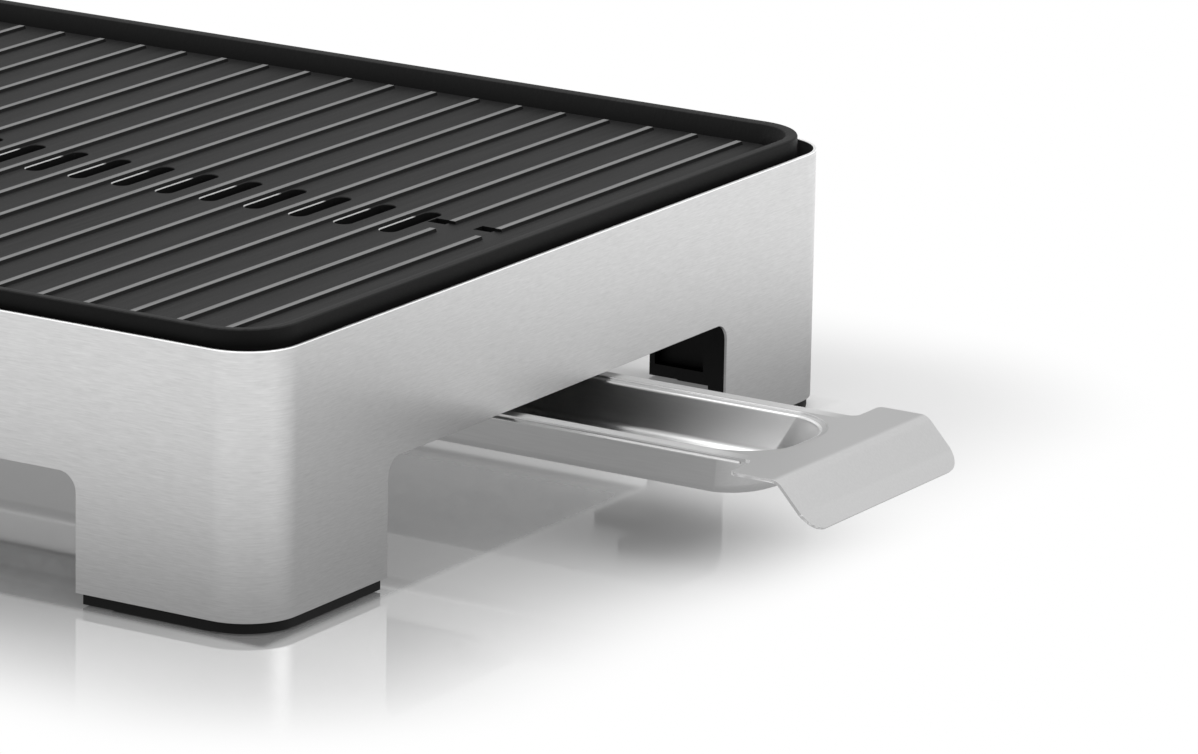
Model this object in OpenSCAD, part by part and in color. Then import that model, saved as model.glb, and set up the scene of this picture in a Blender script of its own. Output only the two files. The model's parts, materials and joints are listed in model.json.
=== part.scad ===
// Tabletop grill: a cast ribbed plate over a tubular element, in a sheet steel housing on four
// corner legs, with a fat drawer that slides out of one short end.
// Frame: X runs along the grill and the drawer slides out towards +X, Y runs across it, Z is up.
// The origin is on the table, under the middle of the housing. The drawer is drawn pulled out.

/* [Housing] */
// Length of the housing, along the drawer's travel
body_l = 506; // [450:1:600]
// Width of the housing, across the drawer
body_w = 330; // [300:1:400]
// Height of the steel wall, from its lower edge to its upper edge
wall_h = 83; // [80:1:95]
// Thickness of the housing sheet
sheet_t = 1; // [0.8:0.1:1.4]
// Outer radius of the upright corners
corner_r = 18; // [14:1:24]
// Width of each leg, measured along both walls from the corner
leg_w = 67; // [55:1:75]
// Height of the cut-outs between the legs, above the table
portal_top = 41; // [40:0.5:44]
// Radius of the cut-outs' upper corners
portal_r = 6; // [4:0.5:12]

/* [Legs] */
// Height of the wall's lower edge above the table
foot_h = 4; // [3:0.5:6]
// Wall of the moulded leg inserts
leg_wall = 3; // [2.4:0.1:4]
// How far the leg inserts stop short of the cut-outs' edges
leg_inset = 2; // [1:0.5:4]
// How far the rubber pads stand out under the legs
pad_proud = 0.6; // [0.4:0.1:1.2]
// Width of the legs' foot rims and end flanges, measured from the wall's outer face
foot_rim_w = 8; // [7:0.5:12]
// Width of the rubber pads
pad_w = 5; // [4:0.5:5.5]

/* [Grill plate] */
// Gap between the plate's skirt and the housing's inside
plate_gap = 3; // [2:0.5:4]
// Outer radius of the plate's corners
plate_r = 20; // [18:1:24]
// How far the plate's rim stands above the housing
rim_stand = 5; // [3:0.5:8]
// Depth of the plate's floor below its rim
floor_depth = 6.2; // [5.5:0.1:8]
// Thickness of the plate's floor
floor_t = 4.5; // [4:0.1:6]
// Radius of the rim's outer edge
rim_round = 0.7; // [0.5:0.1:1.5]
// Width of the rim's top
rim_land = 3.8; // [3:0.1:4.5]
// How far the inner half of the rim's top slopes down
rim_fall = 0.3; // [0.1:0.1:0.8]
// Slope of the rim's inner wall, as a run over its whole depth
rim_run = 3; // [2:0.5:4]
// Thickness of the skirt under the rim
skirt_t = 3; // [2.5:0.1:4]
// Depth of the skirt below the plate's underside
skirt_drop = 4; // [2:0.5:5]

/* [Ribs and drain slots] */
// Distance from one rib to the next
rib_pitch = 17; // [15:0.5:20]
// Height of the ribs above the floor
rib_h = 1; // [0.8:0.1:1.6]
// Width of a rib at its top
rib_top_w = 2.2; // [1.6:0.1:2.6]
// Width of a rib at its foot
rib_foot_w = 3; // [2.8:0.1:4]
// How far the ribs stop short of the skirt's outer face
rib_end = 10.5; // [9:0.5:16]
// Distance from the skirt's outer face to the first rib
rib_start = 28; // [26:0.5:34]
// Gap in the middle of the last two ribs at each end
rib_break = 11; // [9:0.5:14]
// Length of a drain slot
slot_l = 30; // [24:0.5:34]
// Width of a drain slot
slot_w = 6; // [4.5:0.1:7]
// Floor left between a slot's long edge and the rib beside it
slot_side = 0.5; // [0.4:0.1:1]
// Depth of the small drain notch at a broken rib
notch_d = 1.6; // [1:0.1:2]

/* [Heating] */
// Diameter of the tubular element
element_d = 6.5; // [6:0.1:8.5]
// Air gap between the element and the plate
element_gap = 3; // [2.5:0.5:4]
// Distance of the element's inner runs from the middle
run_in = 48; // [42:1:54]
// Distance of the element's outer runs from the middle
run_out = 125; // [118:1:130]
// Depth of the control space at the closed end
control_depth = 30; // [28:1:36]
// Thickness of the inner pan
pan_t = 1; // [0.8:0.1:1.5]
// Thickness of the reflector
reflector_t = 0.8; // [0.6:0.1:1.2]
// Height of the spacers that carry the reflector
spacer_h = 7; // [5:0.5:8]
// Half width of the fat chute through the reflector
chute_half = 18; // [17.5:0.5:20]

/* [Drawer] */
// Thickness of the drawer sheet
tray_t = 1; // [0.8:0.1:1.2]
// Width of the drawer over its side rims
tray_w = 61; // [58:0.5:66]
// Depth of the drawer, rim to underside
tray_depth = 13.5; // [12:0.5:16]
// Gap between the drawer's rim and the cut-out's upper edge
tray_drop = 1.7; // [1.2:0.1:3]
// Width of the flat side rims with their bend
rim_w = 5.5; // [5:0.25:7]
// Corner radius of the basin, on its inner wall
basin_r = 21; // [16:1:23]
// Inner radius where the basin's wall meets its floor
basin_fillet = 5; // [4:0.5:6]
// Underside radius where the basin's wall turns into the rim
rim_bend = 1.5; // [1:0.1:2]
// Turned-down lip of the side rims
lip_h = 1; // [0.8:0.1:1.5]
// How far the drawer is pulled out, measured at the back of its ears
pull_out = 87; // [60:1:110]
// Distance from the ears' back edge to the handle's bend
ear_l = 14.7; // [12:0.1:20]
// Width of the handle over its ears
handle_w = 90; // [80:1:110]
// Underside radius of the handle's bend
handle_bend = 4; // [3:0.5:6]
// Angle of the handle below level
handle_angle = 47; // [35:1:60]
// Length of the handle below its bend
handle_l = 17; // [14:0.5:22]
// Radius of the handle's lower corners
handle_r = 8; // [5:0.5:12]

/* [Controls] */
// Diameter of the control knob
knob_d = 34; // [28:1:36]
// Depth of the knob
knob_l = 15; // [12:0.5:20]
// Diameter of the control shaft
shaft_d = 6; // [5:0.5:7]
// Diameter of the pilot lens
lens_d = 8; // [6:0.5:10]
// Distance of the pilot lens from the knob
lens_y = 34; // [28:1:40]
// Distance of the inlet's middle from the housing's side
inlet_in = 53; // [49:1:70]
// Width of the inlet's opening in the wall
inlet_w = 27; // [26:0.5:29]
// Height of the inlet's opening in the wall
inlet_h = 19.5; // [18.5:0.5:21]

/* [Fits] */
// Clearance between fixed pieces that fit into one another
fit = 0.2; // [0.1:0.05:0.3]
// Radial clearance of the shaft in its bushing
shaft_fit = 0.05; // [0.02:0.01:0.1]
// Clearance between the drawer and its rails
slide_fit = 0.4; // [0.3:0.05:0.6]

/* [Hidden] */
$fn = 48;

steel = [0.74, 0.74, 0.73];
bright_steel = [0.8, 0.8, 0.8];
black = [0.08, 0.08, 0.08];
coating = [0.16, 0.16, 0.17];
dull_steel = [0.55, 0.55, 0.54];
rubber_black = [0.05, 0.05, 0.05];
brass = [0.78, 0.62, 0.3];
copper = [0.72, 0.42, 0.25];
ceramic = [0.92, 0.9, 0.85];
wire_brown = [0.3, 0.18, 0.1];
wire_blue = [0.15, 0.3, 0.6];
wire_green = [0.3, 0.55, 0.2];

// Over-cut past a face, so that a cut never ends flush with it
over = 1;
half_l = body_l / 2;
half_w = body_w / 2;
in_l = body_l - 2 * sheet_t;
in_w = body_w - 2 * sheet_t;
body_top = foot_h + wall_h;

// Inner pan and what stands on it
pan_z = portal_top + 1;
pan_top = pan_z + pan_t;
pan_flange_h = 9;
pan_corner = corner_r + 4;
vent_count = 9;
vent_pitch = 26;
vent_in = 85;
vent_y = 104;
vent_l = 22;
vent_w = 4;
reflector_z = pan_top + spacer_h;
reflector_top = reflector_z + reflector_t;
reflector_wall_h = 14;
reflector_margin = 10;
reflector_x0 = -half_l + control_depth + 2;
reflector_x1 = in_l / 2 - reflector_margin;
reflector_y = in_w / 2 - reflector_margin;
chute_fit = 1.2;
chute_end = 3;
pan_chute_half = chute_half + reflector_t + chute_fit;

// Legs
platform_t = 3;
platform_cut = 24;
leg_rib_t = 2;
pad_t = 2;
pad_l = 38;

// Plate
plate_l = in_l - 2 * plate_gap;
plate_w = in_w - 2 * plate_gap;
rim_top = body_top + rim_stand;
floor_z = rim_top - floor_depth;
plate_z = floor_z - floor_t;
rim_foot = rim_land + rim_run;
floor_r = plate_r - rim_foot;
rib_half = plate_w / 2 - rib_end;
rib_root = 0.5;
rib_span = plate_l - 2 * rib_start;
rib_steps = floor(rib_span / rib_pitch);
broken_ribs = 2;
slot_x = (broken_ribs - 0.5 - rib_steps / 2) * rib_pitch;
rib_x0 = slot_x - slot_w / 2 - slot_side - rib_foot_w / 2 - (broken_ribs - 1) * rib_pitch;
notch_web = 1;
notch_w = rib_pitch - slot_w - slot_side - rib_foot_w - notch_web;
notch_near = 2;
notch_far = 3.5;
slot_count = rib_steps - 2 * (broken_ribs - 1);
row_half = abs(slot_x) + slot_w / 2;
skirt_in = 2;
skirt_wall = 1.8;
drip_skirt_h = 21;
drip_half_y = slot_l / 2 + 0.9;
drip_half_x = row_half + skirt_in;

// Element
element_r = element_d / 2;
element_z = plate_z - element_gap - element_r;
turn_r = (run_out - run_in) / 2;
turn_clear = 12;
turn_x = reflector_x1 - turn_clear - turn_r - element_r;
loop_clear = 3;
loop_x = -drip_half_x - skirt_wall - loop_clear
    + sqrt(pow(run_in - element_r, 2) - pow(drip_half_y + skirt_wall, 2));
shield_x = -half_l + control_depth;
shield_t = 0.8;
shield_foot = 10;
shield_foot_y = 80;
end_out = 8;
end_x = shield_x - end_out;
pin_d = 3;
pin_l = 6;
bush_d = 11;
bush_l = 5;
bracket_x = [-120, 20, 160];
bracket_t = 1.2;
bracket_w = 12;
bracket_foot = 9;
sensor_y = (run_in + run_out) / 2;
sensor_d = 5;
sensor_l = 62;
sensor_x = -90;
sensor_z = plate_z - element_gap - sensor_d / 2;

// Posts and spacers
post_r = 6;
post_fit = 1;
post_cap_h = 2;
post_x0 = reflector_x0 + 36;
post_x1 = reflector_x1 - 20;
post_y = reflector_y - 8;
spacer_r = 5;
spacer_xs = [reflector_x0 + 40, (reflector_x0 + reflector_x1) / 2 + 3, reflector_x1 - 30];
spacer_y = 72;
screw_d = 4;
screw_head_d = 7;
screw_head_h = 2.4;
small_screw_d = 3;
small_head_d = 5.6;
leg_screw_in = 13;
leg_screw_along = 46;
boss_r = 4.5;
boss_h = 14;

// Drawer
tray_top = portal_top - tray_drop;
tray_half = tray_w / 2;
basin_half = tray_half - rim_w;
tray_x = half_l + pull_out;
basin_x1 = tray_x + 1.3;
basin_x0 = slot_x - slot_w / 2 - 14 + pull_out;
basin_floor_z = tray_top - tray_depth + tray_t;
rim_u = basin_r + tray_t + rim_bend;
tray_back = basin_x0 - rim_w;
bend_x = tray_x + ear_l;
ear_back_r = 2;
ear_fillet = 3;
bend_steps = 12;
corner_ease = 0.03;

// Rails
rail_t = 1;
rail_in = 18;
rail_y = tray_half + slide_fit;
rail_lip_z = tray_top - tray_t - lip_h - slide_fit - rail_t;
rail_lip_in = basin_half + tray_t + 0.9;
rail_x1 = half_l - rail_in;
rail_flange = 12;
rail_x0 = tray_back - pull_out - slide_fit - rail_t;
rivet_xs = [rail_x0 + 20, (rail_x0 + rail_x1) / 2, rail_x1 - 20];
rivet_d = 4;

// Controls, on the wall at the closed end
control_z = (portal_top + body_top) / 2 - 1;
inlet_y = half_w - inlet_in;
wall_in_x = -half_l + sheet_t;
bezel_t = 1.2;
bezel_d = knob_d + 8;
bezel_marks = 9;
mount_x = wall_in_x + 3;
mount_t = 1.2;
mount_foot = 14;
mount_screw_in = 9.5;
mount_screw_out = 4;
thermostat_x0 = mount_x + mount_t;
thermostat_l = 16;
thermostat_w = 28;
thermostat_h = 22;
thermostat_x1 = thermostat_x0 + thermostat_l;
tab_l = 4;
tab_y = 8;
tab_z = control_z - 4;
bush_out_d = shaft_d + 4;
bore_x1 = thermostat_x0 + 6;
knob_gap = 1;
knob_x = -half_l - bezel_t - knob_gap;
knob_cap = 4;
knob_skirt = 3;
knob_face = 1;
knob_flutes = 24;
shaft_flat = 0.8;
lamp_d = lens_d + 3;
lamp_l = 14;
inlet_flange = 2;
inlet_body_l = 21;
inlet_wall = 1.6;
inlet_floor = 4;
inlet_pin_l = 11;
inlet_screw_y = inlet_w / 2 + 5;
pin_size = [2, 4];
pin_pitch = 7;
pin_drop = 2;
fuse_d = 5;
fuse_l = 16;
fuse_y = -62;
fuse_x = shield_x - fuse_d / 2 - 0.1;
fuse_z = pan_top + 20;
wire_d = 2.4;
wire_rise = 6;
wire_run = 30;
wire_turn = 5;

// Rounded rectangle about the origin
module rounded(l, w, r) {
    square([l - 2 * r, w], center = true);
    square([l, w - 2 * r], center = true);
    for (x = [-1, 1], y = [-1, 1])
        translate([x * (l / 2 - r), y * (w / 2 - r)]) circle(r);
}

// Slot with round ends, long side along Y
module obround(l, w) {
    square([w, l - w], center = true);
    for (y = [-1, 1])
        translate([0, y * (l - w) / 2]) circle(d = w);
}

// Sweeps a profile round a rectangle. The profile's x is the distance from the corner's centre,
// its y is the height, and corner_at is how far those centres are from the middle.
module swept_rectangle(centre_x, centre_y) {
    for (s = [0, 180])
        rotate(s) {
            translate([centre_x, centre_y, 0])
                rotate_extrude(angle = 90, $fn = 96) children();
            translate([-centre_x, centre_y, 0])
                rotate(90) rotate_extrude(angle = 90, $fn = 96) children();
            translate([centre_x, centre_y, 0])
                rotate([90, 0, 0]) linear_extrude(2 * centre_y) children();
            translate([-centre_x, centre_y, 0])
                rotate([90, 0, 90]) linear_extrude(2 * centre_x) children();
        }
}

// Ring of radius r and thickness t, one quarter of it, in the quadrant of positive x and y
module quarter_ring(r, t) {
    intersection() {
        difference() {
            circle(r + t);
            circle(r);
        }
        square(r + t + over);
    }
}

module for_corner(x, y) {
    mirror([x < 0 ? 1 : 0, 0, 0]) mirror([0, y < 0 ? 1 : 0, 0]) children();
}

// Pan-head screw, its head's underside at z = 0 and its shank pointing down
module screw(l, d = screw_d, head_d = screw_head_d) {
    cylinder(d = head_d, h = screw_head_h);
    translate([0, 0, -l]) cylinder(d = d, h = l);
}

// Outline of a cut-out between two legs, standing on the table
module portal_outline(w) {
    translate([-w / 2, 0]) square([w, portal_top - portal_r]);
    translate([-w / 2 + portal_r, 0]) square([w - 2 * portal_r, portal_top]);
    for (s = [-1, 1])
        translate([s * (w / 2 - portal_r), portal_top - portal_r]) circle(portal_r);
}

module portals() {
    rotate([90, 0, 90]) translate([0, 0, -half_l - over])
        linear_extrude(body_l + 2 * over) portal_outline(body_w - 2 * leg_w);
    rotate([90, 0, 0]) translate([0, 0, -half_w - over])
        linear_extrude(body_w + 2 * over) portal_outline(body_l - 2 * leg_w);
}

// Places what is drawn looking at the control wall: x to the right, y up, z out of the wall
module on_control_wall(y = 0, depth = 0) {
    translate([-half_l + depth, y, control_z]) rotate([90, 0, -90]) children();
}

module housing_shell() {
    color(steel)
    difference() {
        translate([0, 0, foot_h]) linear_extrude(wall_h) difference() {
            rounded(body_l, body_w, corner_r);
            rounded(in_l, in_w, corner_r - sheet_t);
        }
        portals();
        on_control_wall(0, sheet_t + over)
            cylinder(d = bush_out_d + 2 * fit, h = sheet_t + 2 * over);
        on_control_wall(lens_y, sheet_t + over)
            cylinder(d = lens_d + 2 * fit, h = sheet_t + 2 * over);
        on_control_wall(inlet_y, sheet_t + over)
            linear_extrude(sheet_t + 2 * over) square([inlet_w, inlet_h], center = true);
        inlet_screw_places() translate([0, 0, -sheet_t - over])
            cylinder(d = small_screw_d + 2 * fit, h = sheet_t + 2 * over);
    }
}

// The two screws beside the inlet, on the wall's outer face
module inlet_screw_places() {
    for (s = [-1, 1])
        on_control_wall(inlet_y + s * inlet_screw_y) children();
}

// Leg insert for the corner in +X and +Y: two thin walls behind the sheet, each with an end
// flange, a foot rim and a platform under the inner pan, with a boss for each screw
module leg_insert() {
    l = in_l - 2 * fit;
    w = in_w - 2 * fit;
    r = corner_r - sheet_t - fit;
    reach = leg_w - leg_inset;
    difference() {
        intersection() {
            union() {
                translate([0, 0, pad_proud]) linear_extrude(pan_z - pad_proud) difference() {
                    rounded(l, w, r);
                    rounded(l - 2 * leg_wall, w - 2 * leg_wall, r - leg_wall);
                }
                translate([0, 0, pad_proud]) linear_extrude(foot_h) difference() {
                    rounded(l, w, r);
                    rounded(body_l - 2 * foot_rim_w, body_w - 2 * foot_rim_w, corner_r - foot_rim_w);
                }
                translate([0, 0, pan_z - platform_t]) linear_extrude(platform_t)
                    rounded(l, w, r);
                leg_screw_places() translate([0, 0, -boss_h]) cylinder(r = boss_r, h = boss_h);
                for (share = [0.35, 0.68, 1])
                    leg_ribs(share * reach);
            }
            translate([half_l - reach, half_w - reach, 0]) cube([reach, reach, pan_z]);
        }
        translate([half_l - reach - over, half_w - reach - over, pan_z - platform_t - over])
            cube([platform_cut + over, platform_cut + over, platform_t + 2 * over]);
        leg_screw_places() translate([0, 0, -boss_h])
            cylinder(d = screw_d + 2 * shaft_fit, h = boss_h + over);
        translate([0, 0, -over]) linear_extrude(over + pad_t + fit) pad_outline(fit);
    }
}

// The two screw places of the corner in +X and +Y, at the pan's underside
module leg_screw_places() {
    for (p = [[leg_screw_in, leg_screw_along], [leg_screw_along, leg_screw_in]])
        translate([half_l - p[0], half_w - p[1], pan_z]) children();
}

// Upright stiffening ribs, one on each wall of the leg, at a distance from the corner. The ribs
// at the walls' ends are the end flanges.
module leg_ribs(at) {
    translate([half_l - at, half_w - foot_rim_w, pad_proud])
        cube([leg_rib_t, foot_rim_w - 2, pan_z - pad_proud - over]);
    translate([half_l - foot_rim_w, half_w - at, pad_proud])
        cube([foot_rim_w - 2, leg_rib_t, pan_z - pad_proud - over]);
}

// Outline of the two rubber pads under the leg at +X and +Y, one along each wall
module pad_outline(grow) {
    along = corner_r + pad_l / 2;
    across = (sheet_t + fit + foot_rim_w) / 2;
    translate([half_l - across, half_w - along]) obround(pad_l + 2 * grow, pad_w + 2 * grow);
    translate([half_l - along, half_w - across]) rotate(90)
        obround(pad_l + 2 * grow, pad_w + 2 * grow);
}

module foot_pads() {
    color(rubber_black)
    for (x = [-1, 1], y = [-1, 1])
        for_corner(x, y) linear_extrude(pad_t) pad_outline(0);
}

// Sheet pan that closes the body above the cut-outs and carries everything inside it
module inner_pan() {
    flange_l = in_l - 2 * pan_corner;
    flange_w = in_w - 2 * pan_corner;
    color(dull_steel)
    difference() {
        union() {
            translate([0, 0, pan_z]) linear_extrude(pan_t)
                rounded(in_l, in_w, corner_r - sheet_t);
            for (s = [-1, 1]) {
                translate([-flange_l / 2, s * (in_w - pan_t) / 2 - pan_t / 2, pan_top])
                    cube([flange_l, pan_t, pan_flange_h]);
                translate([s * (in_l - pan_t) / 2 - pan_t / 2, -flange_w / 2, pan_top])
                    cube([pan_t, flange_w, pan_flange_h]);
            }
        }
        translate([0, 0, pan_z - over]) linear_extrude(pan_t + 2 * over) {
            square(2 * [drip_half_x + chute_end + reflector_t + chute_fit, pan_chute_half],
                center = true);
            pan_vents();
        }
        for (x = [-1, 1], y = [-1, 1])
            for_corner(x, y) leg_screw_places() translate([0, 0, -over])
                cylinder(d = screw_d + 2 * shaft_fit, h = pan_t + 2 * over);
        spacer_places() small_hole(pan_t);
        mount_screw_places() translate([0, 0, -mount_t]) small_hole(pan_t);
        rivet_places() translate([0, 0, -pan_t - over])
            cylinder(d = rivet_d, h = pan_t + 2 * over);
    }
}

// Hole for a small screw, down through a sheet whose top face is at z = 0
module small_hole(t) {
    translate([0, 0, -t - over]) cylinder(d = small_screw_d + 2 * shaft_fit, h = t + 2 * over);
}

// Cooling slots through the inner pan, in a row on each side
module pan_vents() {
    for (i = [0 : vent_count - 1], s = [-1, 1])
        translate([-half_l + vent_in + i * vent_pitch, s * vent_y]) obround(vent_l, vent_w);
}

// Places on the pan's top face where the reflector's spacers stand
module spacer_places() {
    for (x = spacer_xs, s = [-1, 1])
        translate([x, s * spacer_y, pan_top]) children();
}

module post_places() {
    for (x = [post_x0, post_x1], s = [-1, 1])
        translate([x, s * post_y, pan_top]) children();
}

// Bright pan under the element, with a lipped opening that leads the fat down to the drawer
module reflector() {
    l = reflector_x1 - reflector_x0;
    opening = [2 * (drip_half_x + chute_end), 2 * chute_half];
    lip = [2 * reflector_t, 2 * reflector_t];
    color(bright_steel)
    difference() {
        union() {
            translate([(reflector_x0 + reflector_x1) / 2, 0, reflector_z]) difference() {
                linear_extrude(reflector_t + reflector_wall_h) rounded(l, 2 * reflector_y, 8);
                translate([0, 0, reflector_t]) linear_extrude(reflector_wall_h + over)
                    rounded(l - 2 * reflector_t, 2 * (reflector_y - reflector_t), 8 - reflector_t);
            }
            translate([0, 0, pan_z]) linear_extrude(reflector_z - pan_z)
                square(opening + lip, center = true);
        }
        translate([0, 0, pan_z - over]) linear_extrude(reflector_top - pan_z + 2 * over)
            square(opening, center = true);
        post_places() cylinder(r = post_r + post_fit, h = reflector_top - pan_top + over);
        spacer_places() translate([0, 0, spacer_h + reflector_t]) small_hole(reflector_t);
    }
}

module reflector_spacers() {
    color(dull_steel)
    spacer_places() difference() {
        cylinder(r = spacer_r, h = spacer_h);
        translate([0, 0, spacer_h]) small_hole(spacer_h);
    }
}

// Posts that carry the plate, with a collar on the pan and a turned top
module support_posts() {
    h = plate_z - pan_top;
    color(dull_steel)
    post_places() {
        cylinder(r = post_r + 3, h = spacer_h - 1.5);
        cylinder(r = post_r, h = h - post_cap_h);
        translate([0, 0, h - post_cap_h]) cylinder(r1 = post_r, r2 = post_r - 2, h = post_cap_h);
    }
}

// One straight run of the element along X
module run(x0, x1, y) {
    translate([x0, y, element_z]) rotate([0, 90, 0]) cylinder(r = element_r, h = x1 - x0);
}

// Half turn of the element about a centre, opening towards -X where dir is 1
module turn(x, y, r, dir) {
    translate([x, y, element_z]) rotate(dir > 0 ? -90 : 90)
        rotate_extrude(angle = 180, $fn = 64) translate([r, 0]) circle(element_r);
}

// Tubular element: two outer and two inner runs, one loop round the row of drain slots
module heating_element() {
    color(dull_steel) {
        for (s = [-1, 1]) {
            run(end_x, turn_x, s * run_out);
            run(loop_x, turn_x, s * run_in);
            turn(turn_x, s * (run_in + run_out) / 2, turn_r, 1);
            translate([end_x - pin_l, s * run_out, element_z]) rotate([0, 90, 0])
                cylinder(d = pin_d, h = pin_l);
        }
        turn(loop_x, 0, run_in, -1);
    }
}

// Ceramic bushes that hold the element's cold ends in the shield
module element_bushes() {
    color(ceramic)
    for (s = [-1, 1])
        translate([shield_x - bush_l / 2, s * run_out, element_z]) rotate([0, 90, 0]) difference() {
            cylinder(d = bush_d, h = bush_l);
            translate([0, 0, -over]) cylinder(r = element_r + shaft_fit, h = bush_l + 2 * over);
            translate([0, 0, bush_l / 2]) difference() {
                cylinder(d = bush_d + over, h = shield_t);
                cylinder(d = bush_d - 2, h = shield_t);
            }
        }
}

// Folded brackets on the reflector, each with a notch that the element lies in
module element_brackets() {
    up = element_z - reflector_top + element_r - 1;
    color(dull_steel)
    for (x = bracket_x, y = [-run_out, -run_in, run_in, run_out])
        translate([x, y, reflector_top]) difference() {
            union() {
                translate([0, -bracket_w / 2, 0]) cube([bracket_t, bracket_w, up]);
                translate([0, -bracket_w / 2, 0]) cube([bracket_foot, bracket_w, bracket_t]);
            }
            translate([-over, 0, element_z - reflector_top]) rotate([0, 90, 0])
                cylinder(r = element_r + shaft_fit, h = bracket_t + 2 * over);
            translate([-over, -element_r - shaft_fit, element_z - reflector_top])
                cube([bracket_t + 2 * over, 2 * (element_r + shaft_fit), element_r]);
        }
}

// Temperature sensor: a copper bulb between two runs and its capillary to the thermostat
module sensor_bulb() {
    start = [thermostat_x1, 0, control_z + 4];
    turn_x = shield_x - 4.5;
    nose = [sensor_x - 4, sensor_y, sensor_z];
    color(copper) {
        translate([sensor_x, sensor_y, sensor_z]) rotate([0, 90, 0]) {
            cylinder(d = sensor_d, h = sensor_l);
            translate([0, 0, -4]) cylinder(d1 = 2, d2 = sensor_d, h = 4);
        }
        cable(start, [1, 0, 0], nose, [1, 0, 0], 1.6, [
            [turn_x, 10, control_z + 5], [turn_x, 50, control_z + 7],
            [shield_x + 2, 68, control_z + 8], [shield_x + 22, 80, sensor_z - 2],
            [sensor_x - 20, sensor_y, sensor_z]]);
    }
}

module sensor_clip() {
    color(dull_steel)
    for (x = [sensor_x + 8, sensor_x + sensor_l - 16])
        translate([x, sensor_y, 0]) difference() {
            union() {
                translate([0, -4.5, reflector_top]) cube([8, 9, reflector_t]);
                translate([0, -0.6, reflector_top]) cube([8, 1.2, sensor_z - reflector_top]);
                translate([0, 0, sensor_z]) rotate([0, 90, 0]) cylinder(d = sensor_d + 2, h = 8);
            }
            translate([-over, 0, sensor_z]) rotate([0, 90, 0])
                cylinder(d = sensor_d + 2 * shaft_fit, h = 8 + 2 * over);
        }
}

// Wall between the hot space and the controls, notched for the element's ends
module control_shield() {
    w = 2 * reflector_y;
    color(dull_steel)
    difference() {
        union() {
            translate([shield_x, -w / 2, pan_top]) cube([shield_t, w, element_z - pan_top]);
            for (s = [-1, 1])
                translate([shield_x - shield_foot, s * shield_foot_y - 12, pan_top])
                    cube([shield_foot, 24, mount_t]);
        }
        for (s = [-1, 1])
            translate([shield_x - over, s * run_out, element_z]) rotate([0, 90, 0])
                cylinder(d = bush_d - 2 + 2 * shaft_fit, h = shield_t + 2 * over);
        translate([shield_x - over, 58, control_z + 4])
            cube([shield_t + 2 * over, 16, element_z - control_z]);
        mount_screw_places() small_hole(mount_t);
    }
}

// Screws that hold the thermostat's bracket and the shield to the inner pan
module mount_screw_places() {
    for (s = [-1, 1]) {
        translate([mount_x + mount_screw_in, s * (thermostat_w / 2 + mount_screw_out),
            pan_top + mount_t]) children();
        translate([shield_x - shield_foot / 2, s * shield_foot_y, pan_top + mount_t]) children();
    }
}

// Section of the plate's rim and skirt, x measured from the corner's centre. It ends where the
// rim's inner wall meets the floor.
module rim_profile() {
    difference() {
        polygon([
            [floor_r, plate_z], [plate_r - skirt_t, plate_z],
            [plate_r - skirt_t, plate_z - skirt_drop], [plate_r, plate_z - skirt_drop],
            [plate_r, rim_top], [plate_r - rim_land / 2, rim_top],
            [plate_r - rim_land, rim_top - rim_fall],
            [floor_r, floor_z]]);
        translate([plate_r - rim_round, rim_top - rim_round]) difference() {
            square(rim_round + over);
            circle(rim_round);
        }
    }
}

// One rib about the origin, long side along Y, from y0 to y1
module rib(y0, y1) {
    translate([0, y1, floor_z]) rotate([90, 0, 0]) linear_extrude(y1 - y0)
        polygon([
            [-rib_foot_w / 2, -rib_root], [rib_foot_w / 2, -rib_root], [rib_foot_w / 2, 0],
            [rib_top_w / 2, rib_h], [-rib_top_w / 2, rib_h], [-rib_foot_w / 2, 0]]);
}

// Small drain notch beside the end of a broken rib: a floor that slopes down to an upright end
module drain_notch() {
    y0 = rib_break / 2 - notch_near;
    y1 = rib_break / 2 + notch_far;
    translate([-rib_foot_w / 2 - notch_w, 0, 0]) rotate([90, 0, 90]) linear_extrude(notch_w)
        polygon([
            [y0, floor_z + over], [y0, floor_z], [y1, floor_z - notch_d], [y1, floor_z + over]]);
}

// Places of the ribs that have a gap in their middle
module broken_rib_places() {
    for (i = [0 : broken_ribs - 1], k = [i, rib_steps - i])
        translate([rib_x0 + k * rib_pitch, 0, 0]) children();
}

// Flat-topped rim of the cast plate with its skirt inside the housing. The casting is drawn as
// three pieces that meet face to face: this rim, the ribbed floor and the drip skirt under it.
module plate_rim() {
    color(coating)
    swept_rectangle(plate_l / 2 - plate_r, plate_w / 2 - plate_r) rim_profile();
}

// Skirt under the floor, all round the row of drain slots
module drip_skirt() {
    color(coating)
    translate([0, 0, plate_z - drip_skirt_h]) linear_extrude(drip_skirt_h) difference() {
        square(2 * [drip_half_x + skirt_wall, drip_half_y + skirt_wall], center = true);
        square(2 * [drip_half_x, drip_half_y], center = true);
    }
}

// Ribbed floor of the cast plate with its row of drain slots
module grill_plate() {
    color(coating)
    difference() {
        union() {
            translate([0, 0, plate_z]) linear_extrude(floor_t) difference() {
                rounded(plate_l - 2 * rim_foot, plate_w - 2 * rim_foot, floor_r);
                for (i = [0 : slot_count - 1])
                    translate([slot_x + i * rib_pitch, 0]) obround(slot_l, slot_w);
            }
            for (i = [broken_ribs : rib_steps - broken_ribs])
                translate([rib_x0 + i * rib_pitch, 0, 0]) rib(-rib_half, rib_half);
            broken_rib_places() {
                rib(-rib_half, -rib_break / 2);
                rib(rib_break / 2, rib_half);
            }
        }
        broken_rib_places() drain_notch();
    }
}

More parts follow.
